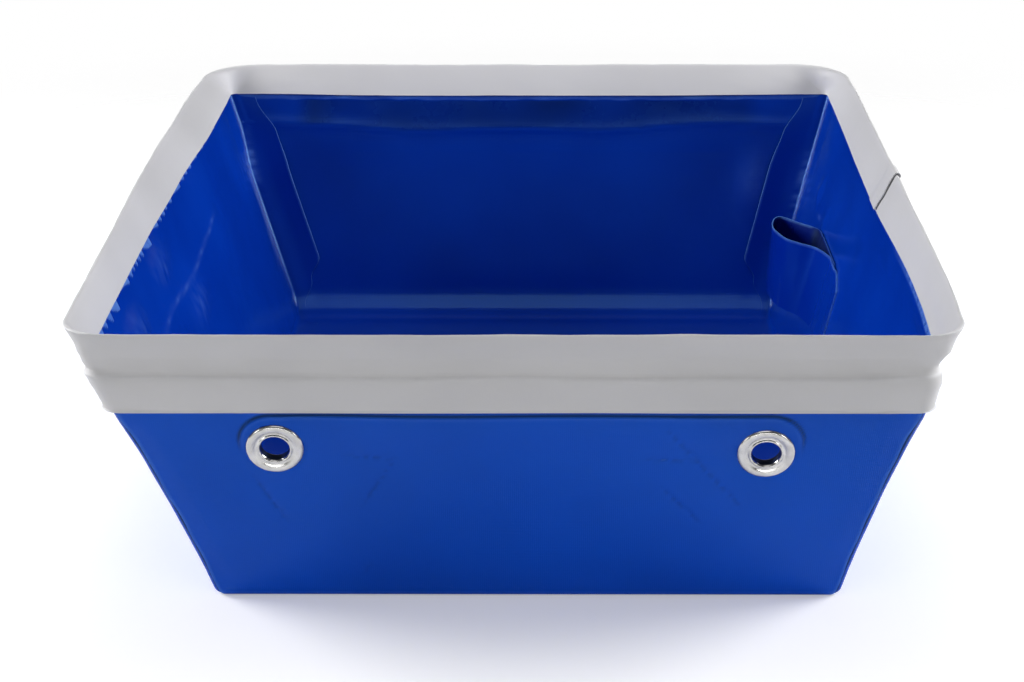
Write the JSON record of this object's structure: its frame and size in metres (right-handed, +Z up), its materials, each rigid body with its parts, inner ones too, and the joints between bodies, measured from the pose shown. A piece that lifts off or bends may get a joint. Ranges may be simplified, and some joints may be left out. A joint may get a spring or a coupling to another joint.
{
  "type": "tarpaulin tub",
  "caption": "Open-topped tapered tub of welded tarpaulin with a flared rim band, eyelets in its front wall and a fabric loop inside.",
  "frame": {"origin": "on the ground, under the middle of the rim", "axes": "+Z up, the front wall with the eyelets faces -Y, +X to the right as seen from the front"},
  "size_m": [0.4812, 0.5842, 0.18],
  "materials": {
    "blue_tarpaulin": "glossy coated fabric",
    "grey_tarpaulin": "satin coated fabric",
    "plated_steel": "bright nickel plate",
    "stiffener": "plain"
  },
  "bodies": {
    "base": {"floor_panel": "blue_tarpaulin", "front_wall": "blue_tarpaulin", "back_wall": "blue_tarpaulin", "left_wall": "blue_tarpaulin", "right_wall": "blue_tarpaulin", "eyelet_backing": "blue_tarpaulin", "left_eyelet": "plated_steel", "right_eyelet": "plated_steel", "left_eyelet_washer": "plated_steel", "right_eyelet_washer": "plated_steel", "loop_end": "blue_tarpaulin"},
    "rim": {"front_hem": "blue_tarpaulin", "back_hem": "blue_tarpaulin", "left_hem": "blue_tarpaulin", "right_hem": "blue_tarpaulin", "rim_band": "grey_tarpaulin", "rim_stiffener": "stiffener"},
    "loop": {"side_loop": "blue_tarpaulin"}
  },
  "joints": [
    {"name": "rim_drop", "type": "slide", "parent": "base", "child": "rim", "axis": [0, 0, 1], "range_m": [-0.04, 0]},
    {"name": "loop_swing", "type": "hinge", "parent": "base", "child": "loop", "pos_m": [0.20362, 0.07, 0.077], "axis": [0.2599, 0, 0.9656], "range_deg": [0, 35]}
  ]
}
